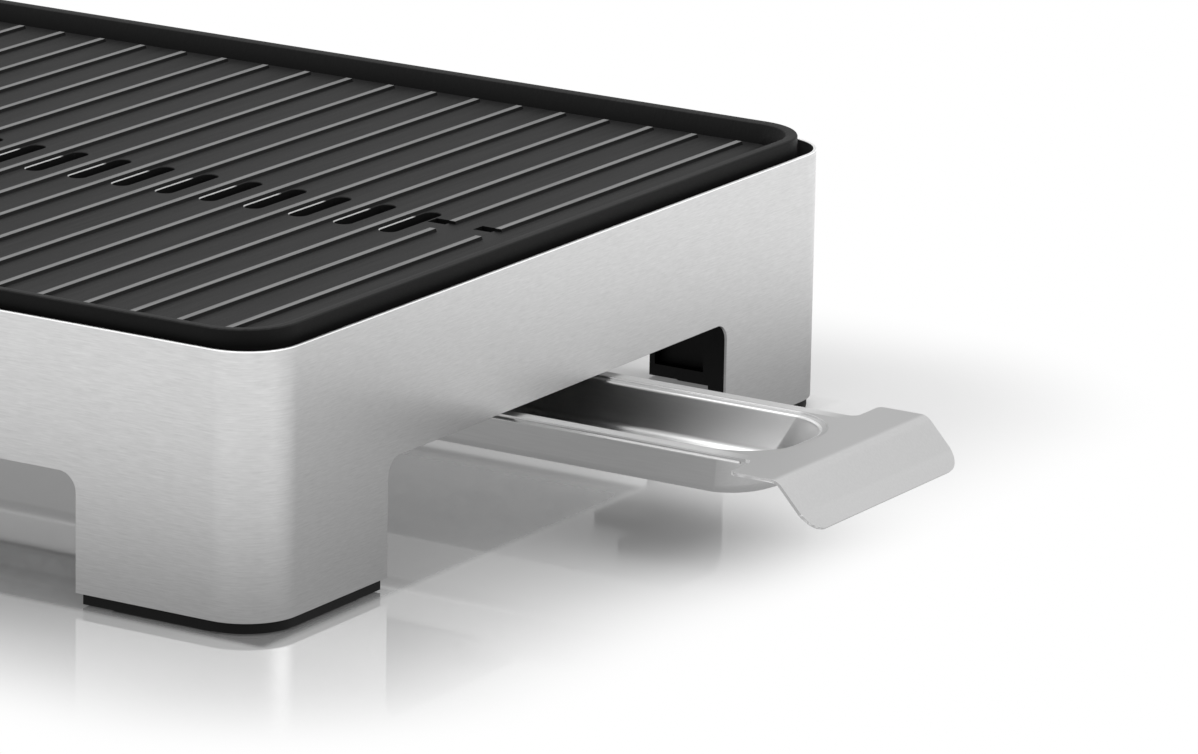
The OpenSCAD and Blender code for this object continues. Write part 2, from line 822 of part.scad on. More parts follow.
// Folded rail for the near side: a flange under the pan, a web and a lip under the drawer's rim
module rail() {
    h = pan_z - rail_lip_z;
    color(dull_steel)
    difference() {
        translate([rail_x0, 0, 0]) rotate([90, 0, 90]) linear_extrude(rail_x1 - rail_x0)
            polygon([
                [-rail_y - rail_flange, pan_z - rail_t], [-rail_y - rail_t, pan_z - rail_t],
                [-rail_y - rail_t, rail_lip_z], [-rail_lip_in, rail_lip_z],
                [-rail_lip_in, rail_lip_z + rail_t], [-rail_y, rail_lip_z + rail_t],
                [-rail_y, pan_z], [-rail_y - rail_flange, pan_z]]);
        for (x = rivet_xs)
            translate([x, -rail_y - rail_flange / 2 - 1, pan_z - rail_t - over])
                cylinder(d = rivet_d, h = rail_t + 2 * over);
    }
    // Stop tab that the drawer's back edge meets when it is pushed home
    color(dull_steel)
    translate([rail_x0, -rail_y, rail_lip_z + rail_t])
        cube([rail_t, rail_y - rail_lip_in, h - 2 * rail_t]);
}

module rail_near() {
    rail();
}

module rail_far() {
    mirror([0, 1, 0]) rail();
}

module rivet_places() {
    for (x = rivet_xs, s = [-1, 1])
        translate([x, s * (rail_y + rail_flange / 2 + 1), pan_top]) children();
}

// Rivets that join the rails to the inner pan
module rail_rivets() {
    color(dull_steel)
    rivet_places() {
        cylinder(d = rivet_d + 3, h = 1.2);
        translate([0, 0, -pan_t - rail_t]) cylinder(d = rivet_d, h = pan_t + rail_t);
        translate([0, 0, -pan_t - rail_t - 1.2]) cylinder(d = rivet_d + 3, h = 1.2);
    }
}

// Section of the basin's wall: bend into the rim, upright wall, fillet into the floor
module basin_profile() {
    bend_z = tray_top - tray_t - rim_bend;
    fillet_z = basin_floor_z + basin_fillet;
    translate([basin_r + tray_t + rim_bend, bend_z]) mirror([1, 0]) quarter_ring(rim_bend, tray_t);
    translate([basin_r, fillet_z]) square([tray_t, bend_z - fillet_z]);
    translate([basin_r - basin_fillet, fillet_z]) mirror([0, 1]) quarter_ring(basin_fillet, tray_t);
}

// Flat outline of the rims, the front flange and its ears, up to the handle's bend
module tray_outline() {
    square_l = bend_x - tray_back;
    translate([tray_back + 3, -tray_half]) square([square_l - 3, tray_w]);
    translate([tray_back, -tray_half + 3]) square([3, tray_w - 6]);
    for (s = [-1, 1])
        translate([tray_back + 3, s * (tray_half - 3)]) circle(3);
    translate([tray_x + ear_back_r, -handle_w / 2]) square([ear_l - ear_back_r, handle_w]);
    translate([tray_x, -handle_w / 2 + ear_back_r])
        square([ear_back_r, handle_w - 2 * ear_back_r]);
    for (s = [-1, 1]) {
        translate([tray_x + ear_back_r, s * (handle_w / 2 - ear_back_r)]) circle(ear_back_r);
        translate([tray_x - ear_fillet, s * tray_half]) difference() {
            translate([0, s > 0 ? 0 : -ear_fillet]) square(ear_fillet);
            translate([0, s * ear_fillet]) circle(ear_fillet);
        }
    }
}

// Section along the drawer through the end of the flange, the bend and the handle's blade. Its
// origin is the bend's centre.
module handle_profile() {
    angles = [for (i = [0 : bend_steps]) i * handle_angle / bend_steps];
    top = [for (a = angles) (handle_bend + tray_t) * [sin(a), cos(a)]];
    underside = [for (i = [bend_steps : -1 : 0]) handle_bend * [sin(angles[i]), cos(angles[i])]];
    tip = handle_l * [cos(handle_angle), -sin(handle_angle)];
    polygon(concat(
        [[-over, handle_bend + tray_t]], top, [top[bend_steps] + tip, underside[0] + tip],
        underside, [[-over, handle_bend]]));
}

// Bend and blade across the whole handle, with the blade's lower corners rounded. The rounding
// crosses the blade's edges at a slight angle.
module tray_handle() {
    translate([bend_x, 0, tray_top - tray_t - handle_bend]) difference() {
        translate([0, handle_w / 2, 0]) rotate([90, 0, 0]) linear_extrude(handle_w) handle_profile();
        rotate([0, handle_angle, 0])
            translate([handle_l - handle_r, 0, handle_bend - over]) linear_extrude(tray_t + 2 * over)
                for (s = [0, 1])
                    mirror([0, s]) translate([0, handle_w / 2 - handle_r]) difference() {
                        square(handle_r + over);
                        circle(handle_r + corner_ease);
                    }
    }
}

// Drawn fat drawer: a deep basin with round ends, flat rims with a turned-down lip, a front
// flange with two ears and a handle bent down from it
module drip_tray() {
    mid_x = (basin_x0 + basin_x1) / 2;
    basin_l = basin_x1 - basin_x0;
    u = basin_r - basin_fillet;
    color(steel) {
        translate([mid_x, 0, 0])
            swept_rectangle(basin_l / 2 - basin_r, basin_half - basin_r) basin_profile();
        translate([mid_x, 0, basin_floor_z - tray_t]) linear_extrude(tray_t)
            rounded(basin_l - 2 * basin_fillet, 2 * (basin_half - basin_fillet), u);
        translate([0, 0, tray_top - tray_t]) linear_extrude(tray_t) difference() {
            tray_outline();
            translate([mid_x, 0]) rounded(basin_l + 2 * (rim_u - basin_r),
                2 * (basin_half + rim_u - basin_r), rim_u);
        }
        for (s = [-1, 1])
            translate([tray_back + 4, s * (tray_half - tray_t / 2) - tray_t / 2,
                tray_top - tray_t - lip_h])
                cube([tray_x - ear_fillet - 2 - tray_back - 4, tray_t, lip_h]);
        tray_handle();
    }
}

// Upright plate behind the wall that the thermostat hangs on
module thermostat_bracket() {
    w = thermostat_w + 4 * mount_screw_out;
    top = control_z + thermostat_h / 2;
    color(dull_steel)
    difference() {
        union() {
            translate([mount_x, -w / 2, pan_top]) cube([mount_t, w, top - pan_top]);
            translate([mount_x, -w / 2, pan_top]) cube([mount_foot, w, mount_t]);
        }
        translate([mount_x - over, 0, control_z]) rotate([0, 90, 0])
            cylinder(d = bush_out_d + 2 * shaft_fit, h = mount_t + 2 * over);
        mount_screw_places() small_hole(mount_t);
    }
}

// Rotary thermostat: body, bushing through the wall, terminal tabs
module thermostat() {
    nose_x = -half_l - bezel_t;
    color(ceramic)
    difference() {
        union() {
            translate([thermostat_x0, -thermostat_w / 2, control_z - thermostat_h / 2])
                cube([thermostat_l, thermostat_w, thermostat_h]);
            translate([nose_x, 0, control_z]) rotate([0, 90, 0])
                cylinder(d = bush_out_d, h = thermostat_x0 - nose_x + over);
        }
        translate([nose_x - over, 0, control_z]) rotate([0, 90, 0])
            cylinder(d = shaft_d + 2 * shaft_fit, h = bore_x1 - nose_x + over);
    }
    color(brass)
    for (s = [-1, 1])
        translate([thermostat_x1, s * tab_y - 3, tab_z]) cube([tab_l, 6, 0.8]);
}

// Shaft with a flat for the knob, turning in the thermostat's bushing
module control_shaft() {
    front = knob_x - knob_l + knob_cap;
    color(dull_steel)
    difference() {
        translate([front, 0, control_z]) rotate([0, 90, 0])
            cylinder(d = shaft_d, h = bore_x1 - 1 - front);
        translate([front - over, -shaft_d, control_z + shaft_d / 2 - shaft_flat])
            cube([knob_x - front + over, 2 * shaft_d, shaft_d]);
    }
}

// Knob with a stepped skirt, grip flutes, a flat face and a pointer
module control_knob() {
    grip_r = knob_d / 2 - 2.5;
    color(black)
    difference() {
        on_control_wall(0, knob_x + half_l) {
            cylinder(d = knob_d, h = knob_skirt);
            linear_extrude(knob_l - knob_face) difference() {
                circle(grip_r);
                for (i = [0 : knob_flutes - 1])
                    rotate((i + 0.5) * 360 / knob_flutes) translate([grip_r + 0.8, 0])
                        circle(r = 1.7, $fn = 24);
            }
            cylinder(r = grip_r - 2, h = knob_l);
            translate([-0.75, grip_r - 9, knob_l - 1]) cube([1.5, 6.5, 1.5]);
        }
        difference() {
            translate([knob_x - knob_l + knob_cap, 0, control_z]) rotate([0, 90, 0])
                cylinder(d = shaft_d + 2 * shaft_fit, h = knob_l - knob_cap + over);
            translate([knob_x - knob_l, -shaft_d, control_z + shaft_d / 2 - shaft_flat + shaft_fit])
                cube([knob_l, 2 * shaft_d, shaft_d]);
        }
    }
}

// Ring on the wall behind the knob, with plain raised marks for the settings
module knob_bezel() {
    color(black)
    on_control_wall() {
        difference() {
            cylinder(d = bezel_d, h = bezel_t);
            translate([0, 0, -over])
                cylinder(d = bush_out_d + 2 * fit, h = bezel_t + 2 * over);
        }
        for (i = [0 : bezel_marks - 1])
            rotate(-135 + i * 270 / (bezel_marks - 1)) translate([-0.4, knob_d / 2 + 1, bezel_t])
                cube([0.8, 2, 0.3]);
    }
}

module pilot_lens() {
    color([0.8, 0.1, 0.05])
    on_control_wall(lens_y) {
        cylinder(d = lens_d + 2, h = 1);
        translate([0, 0, 1]) cylinder(d1 = lens_d + 2, d2 = lens_d - 1, h = 1);
        translate([0, 0, -sheet_t - 2]) cylinder(d = lens_d, h = sheet_t + 2);
    }
}

// Neon lamp holder pressed onto the lens from behind
module pilot_lamp() {
    color(black)
    on_control_wall(lens_y, sheet_t + lamp_l)
        difference() {
            cylinder(d = lamp_d, h = lamp_l);
            translate([0, 0, lamp_l - 2 - fit]) cylinder(d = lens_d + 2 * fit, h = 2 + fit + over);
        }
}

// Socket for a detachable mains lead: a flange on the wall and a body behind it
module appliance_inlet() {
    color(black)
    difference() {
        union() {
            on_control_wall(inlet_y) linear_extrude(inlet_flange)
                rounded(2 * inlet_screw_y + 8, inlet_h + 5, 4);
            on_control_wall(inlet_y, inlet_body_l) linear_extrude(inlet_body_l)
                square([inlet_w - 2 * fit, inlet_h - 2 * fit], center = true);
        }
        on_control_wall(inlet_y, inlet_body_l - inlet_floor)
            linear_extrude(inlet_body_l + inlet_flange) inlet_cavity();
        inlet_screw_places() translate([0, 0, -over])
            cylinder(d = small_screw_d + 2 * fit, h = inlet_flange + 2 * over);
        inlet_pin_places() translate([0, 0, -inlet_floor - over])
            linear_extrude(inlet_floor + 2 * over)
                square(pin_size + 2 * [shaft_fit, shaft_fit], center = true);
    }
}

// Six-sided opening of the socket, with its two upper corners cut off
module inlet_cavity() {
    w = inlet_w - 2 * fit - 2 * inlet_wall;
    h = inlet_h - 2 * fit - 2 * inlet_wall;
    cut = 4;
    polygon([
        [-w / 2, -h / 2], [w / 2, -h / 2], [w / 2, h / 2 - cut],
        [w / 2 - cut, h / 2], [-w / 2 + cut, h / 2], [-w / 2, h / 2 - cut]]);
}

// Pin places on the socket's floor, the earth pin in the upper middle
module inlet_pin_places() {
    for (p = [[-pin_pitch, -pin_drop], [pin_pitch, -pin_drop], [0, pin_drop]])
        on_control_wall(inlet_y, inlet_body_l - inlet_floor) translate(p) children();
}

module inlet_pins() {
    color(brass)
    inlet_pin_places() translate([0, 0, -inlet_floor - tab_l])
        linear_extrude(inlet_floor + tab_l + inlet_pin_l) square(pin_size, center = true);
}

// Thermal fuse in a sleeve on the shield, in the switched wire
module thermal_fuse() {
    color(ceramic)
    translate([shield_x - fuse_d / 2, fuse_y - fuse_l / 2, fuse_z]) rotate([-90, 0, 0])
        cylinder(d = fuse_d, h = fuse_l);
}

// Points of a Catmull-Rom curve through a list of points, with n steps on each stretch
function spline(a, b, c, d, t) =
    0.5 * (2 * b + (c - a) * t + (2 * a - 5 * b + 4 * c - d) * t * t
        + (3 * b - a - 3 * c + d) * t * t * t);
function smooth(p, n) = [
    for (i = [0 : len(p) - 2], j = [0 : n - 1])
        spline(p[max(i - 1, 0)], p[i], p[i + 1], p[min(i + 2, len(p) - 1)], j / n),
    p[len(p) - 1]];

function unit(v) = v / norm(v);
function heading(p, i) = unit(p[min(i + 1, len(p) - 1)] - p[max(i - 1, 0)]);

// Round tube along a list of points, closed at both ends
module tube(p, r, sides) {
    n = len(p);
    points = [
        for (i = [0 : n - 1])
            let (h = heading(p, i), a = unit(cross(h, abs(h[2]) < 0.9 ? [0, 0, 1] : [1, 0, 0])),
                b = cross(h, a))
            for (k = [0 : sides - 1])
                p[i] + r * (a * cos(k * 360 / sides) + b * sin(k * 360 / sides))];
    walls = [
        for (i = [0 : n - 2], k = [0 : sides - 1])
            let (m = (k + 1) % sides)
            each [
                [i * sides + k, (i + 1) * sides + k, (i + 1) * sides + m],
                [i * sides + k, (i + 1) * sides + m, i * sides + m]]];
    ends = [
        [for (k = [0 : sides - 1]) k],
        [for (k = [sides - 1 : -1 : 0]) (n - 1) * sides + k]];
    polyhedron(points, concat(walls, ends), convexity = 4);
}

// Round lead of diameter d that leaves one face square to it along out, passes through the
// points between, and meets the other face square to it along into
module cable(from, out, to, into, d, between) {
    straight = d;
    middle = concat([from + straight * out], between, [to - straight * into]);
    tube(concat([from], smooth(middle, 4), [to]), d / 2, 8);
}

down = [0, 0, -1];
up = [0, 0, 1];
right = [0, -1, 0];
inward = [1, 0, 0];
// Undersides of the terminals, and the ends of the element's pins
inlet_tab = [-half_l + inlet_body_l + tab_l / 2, inlet_y, control_z - pin_size[1] / 2];
thermostat_tab = [thermostat_x1 + tab_l / 2, 0, tab_z];
element_tip = [end_x - pin_l, run_out, element_z];
fuse_end = [fuse_x, fuse_y + fuse_l / 2, fuse_z];
wire_z = pan_top + wire_rise;

module wire_live() {
    start = inlet_tab + [0, -pin_pitch, -pin_drop];
    finish = thermostat_tab + [0, tab_y, 0];
    color(wire_brown)
    cable(start, down, finish, up, wire_d, [
        [start[0] + 0.5, start[1] - wire_turn, wire_z + 1],
        [start[0] + 1, start[1] - wire_run, wire_z - 1],
        [start[0] + 1, wire_run, wire_z - 1], [finish[0], tab_y + wire_turn, wire_z + 1]]);
}

module wire_switched() {
    start = thermostat_tab + [0, -tab_y, 0];
    element_end = [element_tip[0], -element_tip[1], element_tip[2]];
    color(wire_brown) {
        cable(start, down, fuse_end, right, wire_d, [
            [start[0], -tab_y - wire_turn, wire_z + 1],
            [start[0] + 2, -tab_y - 4 * wire_turn, wire_z + 1],
            [fuse_x, fuse_end[1] + 9, fuse_z - 3]]);
        cable(fuse_end - [0, fuse_l, 0], right, element_end, inward, wire_d, [
            [fuse_x - 2, -86, fuse_z - 5], [element_end[0], -110, fuse_z - 2],
            [element_end[0] - 7, -122, element_z - 6]]);
    }
}

module wire_neutral() {
    start = inlet_tab + [0, pin_pitch, -pin_drop];
    side_y = inlet_y + inlet_w / 2 + 4;
    color(wire_blue)
    cable(start, down, element_tip, inward, wire_d, [
        [start[0] - 1, start[1] + 4, wire_z + 3], [start[0] - 8, side_y, wire_z + 6],
        [start[0] - 15, side_y, element_z - 8]]);
}

module wire_earth() {
    start = inlet_tab + [0, 0, pin_drop];
    finish = [start[0] - 12, inlet_y - 13, pan_top];
    color(wire_green)
    cable(start, down, finish, down, wire_d, [
        [start[0], start[1], wire_z + 3], [start[0] - 6, start[1] - 4, wire_z]]);
}

module pan_screws() {
    color(dull_steel)
    for (x = [-1, 1], y = [-1, 1])
        for_corner(x, y) leg_screw_places() translate([0, 0, pan_t]) screw(pan_t + boss_h - 2);
}

module spacer_screws() {
    color(dull_steel)
    spacer_places() translate([0, 0, spacer_h + reflector_t])
        screw(reflector_t + spacer_h + pan_t + 1, small_screw_d, small_head_d);
}

module mount_screws() {
    color(dull_steel)
    mount_screw_places() screw(mount_t + pan_t + 2, small_screw_d, small_head_d);
}

module inlet_screws() {
    color(dull_steel)
    inlet_screw_places() translate([0, 0, inlet_flange])
        screw(inlet_flange + sheet_t + 4, small_screw_d, small_head_d);
}

module leg_insert_front_left() {
    color(black) for_corner(-1, -1) leg_insert();
}

module leg_insert_front_right() {
    color(black) for_corner(1, -1) leg_insert();
}

module leg_insert_back_left() {
    color(black) for_corner(-1, 1) leg_insert();
}

module leg_insert_back_right() {
    color(black) for_corner(1, 1) leg_insert();
}

housing_shell();
leg_insert_front_left();
leg_insert_front_right();
leg_insert_back_left();
leg_insert_back_right();
foot_pads();
inner_pan();
reflector();
reflector_spacers();
support_posts();
heating_element();
element_brackets();
element_bushes();
sensor_bulb();
sensor_clip();
control_shield();
grill_plate();
plate_rim();
drip_skirt();
rail_near();
rail_far();
drip_tray();
thermostat();
thermostat_bracket();
control_shaft();
control_knob();
knob_bezel();
pilot_lens();
pilot_lamp();
appliance_inlet();
inlet_pins();
thermal_fuse();
wire_live();
wire_switched();
wire_neutral();
wire_earth();
pan_screws();
spacer_screws();
mount_screws();
rail_rivets();
inlet_screws();
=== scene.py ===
"""Looks of the tabletop grill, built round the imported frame. All lengths are in metres."""

import json
import math

import bmesh
import bpy
from mathutils import Matrix, Vector


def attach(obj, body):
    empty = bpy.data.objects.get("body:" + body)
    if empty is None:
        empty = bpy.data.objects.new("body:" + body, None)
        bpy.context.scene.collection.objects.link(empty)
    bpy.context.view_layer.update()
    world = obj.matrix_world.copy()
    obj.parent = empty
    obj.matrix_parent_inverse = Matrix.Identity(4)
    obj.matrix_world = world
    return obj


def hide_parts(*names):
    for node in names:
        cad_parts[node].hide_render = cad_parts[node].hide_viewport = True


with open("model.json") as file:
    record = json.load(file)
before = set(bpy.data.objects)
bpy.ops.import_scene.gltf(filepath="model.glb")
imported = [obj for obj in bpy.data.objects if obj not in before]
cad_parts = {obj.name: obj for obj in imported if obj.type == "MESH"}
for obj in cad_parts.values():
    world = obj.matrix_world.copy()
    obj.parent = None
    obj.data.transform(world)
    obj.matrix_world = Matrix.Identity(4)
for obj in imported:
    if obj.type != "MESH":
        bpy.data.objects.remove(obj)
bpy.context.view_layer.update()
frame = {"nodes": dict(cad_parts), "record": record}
scene = bpy.context.scene
nodes = frame["nodes"]
MM = 0.001

# The plate's drain slots, known to its material and to its eased edges
PLATE_FLOOR_Z = 0.0858
SLOT_ROW_HALF = 0.1988
SLOT_CHAMFER = 0.35 * MM

# The drawer's sheet in millimetres: the top of its flange and its thickness
TRAY_TOP, TRAY_SHEET = 39.3, 1.0


def node_box(name):
    """Lowest and highest corner of a CAD node."""
    points = [v.co for v in nodes[name].data.vertices]
    return ([min(p[i] for p in points) for i in range(3)],
            [max(p[i] for p in points) for i in range(3)])


def add_camera():
    """Camera at the photograph's viewing angle, its lens set for a picture 1198 px wide; the
    picture's size (1198 by 754 px) is not set here.
    """
    place = Vector((1.4666, -1.9360, 0.6671))
    azimuth, elevation, roll = (math.radians(a) for a in (31.81, 15.23, 1.03))
    sensor_w = 36.0
    focal_px, picture_w = 7649.0, 1198.0
    back = Vector((math.sin(azimuth) * math.cos(elevation),
                   -math.cos(azimuth) * math.cos(elevation), math.sin(elevation)))
    level = Vector((math.cos(azimuth), math.sin(azimuth), 0))
    rise = back.cross(level)
    right = math.cos(roll) * level + math.sin(roll) * rise
    up = -math.sin(roll) * level + math.cos(roll) * rise
    data = bpy.data.cameras.new("photo_camera")
    data.sensor_fit = "HORIZONTAL"
    data.sensor_width = sensor_w
    data.lens = sensor_w * focal_px / picture_w
    data.clip_start, data.clip_end = 0.05, 50
    camera = bpy.data.objects.new("photo_camera", data)
    turn = Matrix((right, up, back)).transposed().to_4x4()
    camera.matrix_world = Matrix.Translation(place) @ turn
    scene.collection.objects.link(camera)
    scene.camera = camera


class Shader:
    """A material's node tree with short calls for the nodes used here."""

    def __init__(self, name):
        self.material = bpy.data.materials.new(name)
        self.material.use_nodes = True
        self.tree = self.material.node_tree
        self.tree.nodes.clear()
        self.out = self.node("ShaderNodeOutputMaterial")
        self.place = self.node("ShaderNodeTexCoord").outputs["Object"]

    def node(self, kind, inputs=None, **settings):
        made = self.tree.nodes.new(kind)
        for key, value in settings.items():
            setattr(made, key, value)
        for key, value in (inputs or {}).items():
            self.feed(made.inputs[key], value)
        return made

    def feed(self, socket, value):
        """Links a socket, or sets the value of one."""
        if isinstance(value, bpy.types.NodeSocket):
            self.tree.links.new(value, socket)
        else:
            socket.default_value = value

    def surface(self, **values):
        """Principled surface; an underscore in a name stands for a space."""
        made = self.node("ShaderNodeBsdfPrincipled",
                         {key.replace("_", " "): value for key, value in values.items()})
        self.tree.links.new(made.outputs[0], self.out.inputs["Surface"])

    def math(self, operation, a, b=0.0, clamp=False):
        made = self.node("ShaderNodeMath", {0: a, 1: b}, operation=operation, use_clamp=clamp)
        return made.outputs[0]

    def times(self, a, b):
        return self.math("MULTIPLY", a, b)

    def size(self, value):
        """The value without its sign."""
        return self.math("ABSOLUTE", value)

    def off(self, value, middle):
        """How far a value is from a middle."""
        return self.size(self.math("SUBTRACT", value, middle))

    def stretched(self, scale):
        """Object coordinates multiplied along each axis."""
        made = self.node("ShaderNodeVectorMath", {0: self.place, 1: scale}, operation="MULTIPLY")
        return made.outputs[0]

    def noise(self, scale, detail=3.0, rough=0.5, at=None):
        made = self.node("ShaderNodeTexNoise",
                         {"Vector": at or self.place, "Scale": scale, "Detail": detail,
                          "Roughness": rough})
        return made.outputs["Fac"]

    def remap(self, value, low, high, to_low, to_high, ease="LINEAR"):
        made = self.node("ShaderNodeMapRange",
                         {"Value": value, "From Min": low, "From Max": high,
                          "To Min": to_low, "To Max": to_high}, interpolation_type=ease)
        return made.outputs[0]

    def spread(self, noise, to_low=0, to_high=1):
        """A noise from the range where most of it lies to another range."""
        usual_low, usual_high = 0.3, 0.7
        return self.remap(noise, usual_low, usual_high, to_low, to_high)

    def blend(self, factor, a, b):
        made = self.node("ShaderNodeMix", {0: factor, 6: a, 7: b}, data_type="RGBA")
        return made.outputs[2]

    def bump(self, height, strength, distance, after=None):
        inputs = {"Height": height, "Strength": strength, "Distance": distance}
        if after is not None:
            inputs["Normal"] = after
        return self.node("ShaderNodeBump", inputs).outputs[0]

    def axis(self, index):
        """The place along one axis, in the object's coordinates."""
        parts = self.node("ShaderNodeSeparateXYZ", {0: self.place})
        return parts.outputs[index]

    def normal_axis(self, index):
        """The surface's own direction, one axis of it in the object's coordinates."""
        normal = self.node("ShaderNodeTexCoord").outputs["Normal"]
        parts = self.node("ShaderNodeSeparateXYZ", {0: normal})
        return parts.outputs[index]


def grey(level, tint=(0.0, 0.0, 0.0)):
    return (level + tint[0], level + tint[1], level + tint[2], 1.0)


def brushed_steel():
    """Housing sheet, brushed level all round: fine streaks, long along the walls. A thin band at
    the cut edge on top is painted white, a painted highlight."""
    m = Shader("brushed_steel")
    painted_highlight_depth = 0.0004
    streak_share, grain_share = 0.55, 0.45
    painted_highlight_z = node_box("housing_shell")[1][2] - painted_highlight_depth
    streaks = m.noise(1.0, 3.0, 0.65, m.stretched((110, 110, 2200)))
    grain = m.noise(1.0, 2.0, 0.5, m.stretched((300, 300, 2600)))
    both = m.math("ADD", m.times(streaks, streak_share), m.times(grain, grain_share))
    colour = m.blend(m.spread(both), grey(0.53), grey(0.63))
    # Painted highlight: the band at the top edge is set to white.
    colour = m.blend(m.math("GREATER_THAN", m.axis(2), painted_highlight_z), colour, grey(1.0))
    m.surface(Base_Color=colour, Metallic=1.0, Roughness=m.spread(both, 0.40, 0.34),
              Anisotropic=0.4,
              Tangent=m.node("ShaderNodeTangent", direction_type="RADIAL", axis="Z").outputs[0],
              Normal=m.bump(both, 0.09, 0.00002))
    return m.material


def tray_steel():
    """The drawer's satin sheet. Its bright side rims, duller level flange and pale basin end are
    set by position, to look like the photograph's reflections."""
    m = Shader("tray_steel")
    rim_in, rim_out, rim_end, rim_low = 0.0258, 0.0306, 0.337, 0.0388
    rim_fade, end_fade = 0.0006, 0.012
    level_from, level_full = 0.95, 0.99
    basin_half, scoop_from, scoop_to, scoop_end = 0.0238, 0.262, 0.318, 0.342
    basin_middle, basin_reach = 0.0314, 0.0072
    most_forward, most_outward = 0.02, 0.0002
    flange, pale, bright = grey(0.6), grey(0.98), grey(0.95)
    grain = m.noise(1.0, 2.0, 0.5, m.stretched((90.0, 1500.0, 1500.0)))
    colour = m.blend(m.spread(grain), grey(0.635), grey(0.665))
    along, height = m.axis(0), m.axis(2)
    across = m.size(m.axis(1))
    on_rim = m.math("GREATER_THAN", height, rim_low)
    # Painted reflection: the level flange is set to a duller grey by position.
    level = m.times(on_rim, m.remap(m.normal_axis(2), level_from, level_full, 0, 1))
    colour = m.blend(level, colour, flange)
    # Painted reflection: the basin's end is set pale by position.
    scoop = m.times(m.remap(along, scoop_from, scoop_to, 0, 1),
                    m.math("LESS_THAN", along, scoop_end))
    off_middle = m.off(height, basin_middle)
    outward = m.times(m.axis(1), m.normal_axis(1))
    for value, limit in ((across, basin_half), (off_middle, basin_reach),
                         (m.normal_axis(0), most_forward), (outward, most_outward)):
        scoop = m.times(scoop, m.math("LESS_THAN", value, limit))
    colour = m.blend(scoop, colour, pale)
    # Painted highlight: the tops of the side rims are set bright by position.
    painted_rim_highlight = m.remap(across, rim_in, rim_in + rim_fade, 0, 1)
    painted_rim_highlight = m.times(painted_rim_highlight, m.math("LESS_THAN", across, rim_out))
    painted_rim_highlight = m.times(painted_rim_highlight, m.remap(along, rim_end - end_fade, rim_end, 1, 0))
    painted_rim_highlight = m.times(painted_rim_highlight, on_rim)
    m.surface(Base_Color=m.blend(painted_rim_highlight, colour, bright), Metallic=1.0,
              Roughness=m.spread(grain, 0.305, 0.285), Normal=m.bump(grain, 0.02, 0.00001))
    return m.material


def bright_steel():
    """Satin drawn sheet with a very fine grain across the part."""
    m = Shader("bright_steel")
    grain = m.noise(1.0, 2.0, 0.5, m.stretched((1500.0, 160.0, 1500.0)))
    colour = m.blend(m.spread(grain), grey(0.665), grey(0.695))
    m.surface(Base_Color=colour, Metallic=1.0, Roughness=m.spread(grain, 0.20, 0.16),
              Normal=m.bump(grain, 0.03, 0.00002))
    return m.material


def zinc_steel():
    """Matt zinc with small spangles."""
    m = Shader("zinc_steel")
    spangle = m.node("ShaderNodeTexVoronoi", {"Vector": m.place, "Scale": 260.0}).outputs["Color"]
    tone = m.node("ShaderNodeSeparateColor", {0: spangle}).outputs[0]
    colour = m.blend(tone, grey(0.40), grey(0.50, (0, 0.002, 0.006)))
    m.surface(Base_Color=colour, Metallic=1.0, Roughness=m.remap(tone, 0, 1, 0.42, 0.55),
              Normal=m.bump(m.noise(900.0), 0.1, 0.00003))
    return m.material


def coated_cast():
    """Black coating on the cast plate: fine pebbled skin, grinding lines along the ribs, paler rib
    tops, partly flattened by grinding and partly a painted highlight, upright faces darker as
    painted shade, and a painted highlight on the upper edge of a part of each drain slot."""
    m = Shader("coated_cast")
    rib_z, rib_band, rib_full = 0.0868, 0.00025, 0.6
    highlight_middle, highlight_half, highlight_fade = -0.0035, 0.0115, 0.002
    edge_share, edge_upward = 0.47, 0.15
    height = m.axis(2)
    upward = m.normal_axis(2)
    level_face = m.remap(upward, 0.96, 0.99, 0, 1)
    off_rib = m.off(height, rib_z)
    # Rib tops: paler colour, partly grinding wear and partly a painted highlight.
    on_rib = m.times(m.remap(off_rib, rib_band * rib_full, rib_band, 1, 0), level_face)
    # Painted highlight on the slots' upper edge, only within a band across the plate.
    from_highlight_middle = m.off(m.axis(1), highlight_middle)
    inside = m.times(m.remap(from_highlight_middle, highlight_half - highlight_fade, highlight_half, 1, 0),
                     m.math("LESS_THAN", m.size(m.axis(0)), SLOT_ROW_HALF))
    below = m.off(height, PLATE_FLOOR_Z - SLOT_CHAMFER / 2)
    slot_edge_highlight = m.times(m.math("LESS_THAN", below, SLOT_CHAMFER * edge_share), inside)
    slot_edge_highlight = m.times(slot_edge_highlight, m.math("GREATER_THAN", upward, edge_upward))
    # Painted shade: upright faces are set almost black.
    upright = m.remap(m.size(upward), 0.3, 0.6, 1, 0)
    skin = m.noise(2600.0, 2.0, 0.6)
    lines = m.noise(1.0, 2.0, 0.6, m.stretched((1500, 26, 300)))
    floor = m.blend(m.spread(lines), grey(0.008), grey(0.018))
    floor = m.blend(upright, floor, grey(0.003))
    top = m.blend(m.spread(lines), grey(0.19), grey(0.27))
    # The plate's colour, with its painted highlights and painted shade.
    coat_with_painted_light = m.blend(slot_edge_highlight, m.blend(on_rib, floor, top), grey(0.6))
    m.surface(Base_Color=coat_with_painted_light, Roughness=m.spread(skin, 0.5, 0.62), Specular_IOR_Level=0.14,
              Normal=m.bump(skin, 0.2, 0.00005, m.bump(lines, 0.12, 0.00003)))
    return m.material


def black_plastic():
    """Moulded plastic with a fine matt grain."""
    m = Shader("black_plastic")
    level, roughness = 0.003, 0.5
    grain = m.noise(1800.0, 2.0, 0.6)
    colour = m.blend(grain, grey(level * 0.8), grey(level * 1.2))
    m.surface(Base_Color=colour, Roughness=m.spread(grain, roughness, roughness + 0.1),
              Specular_IOR_Level=0.2, Normal=m.bump(grain, 0.2, 0.00005))
    return m.material


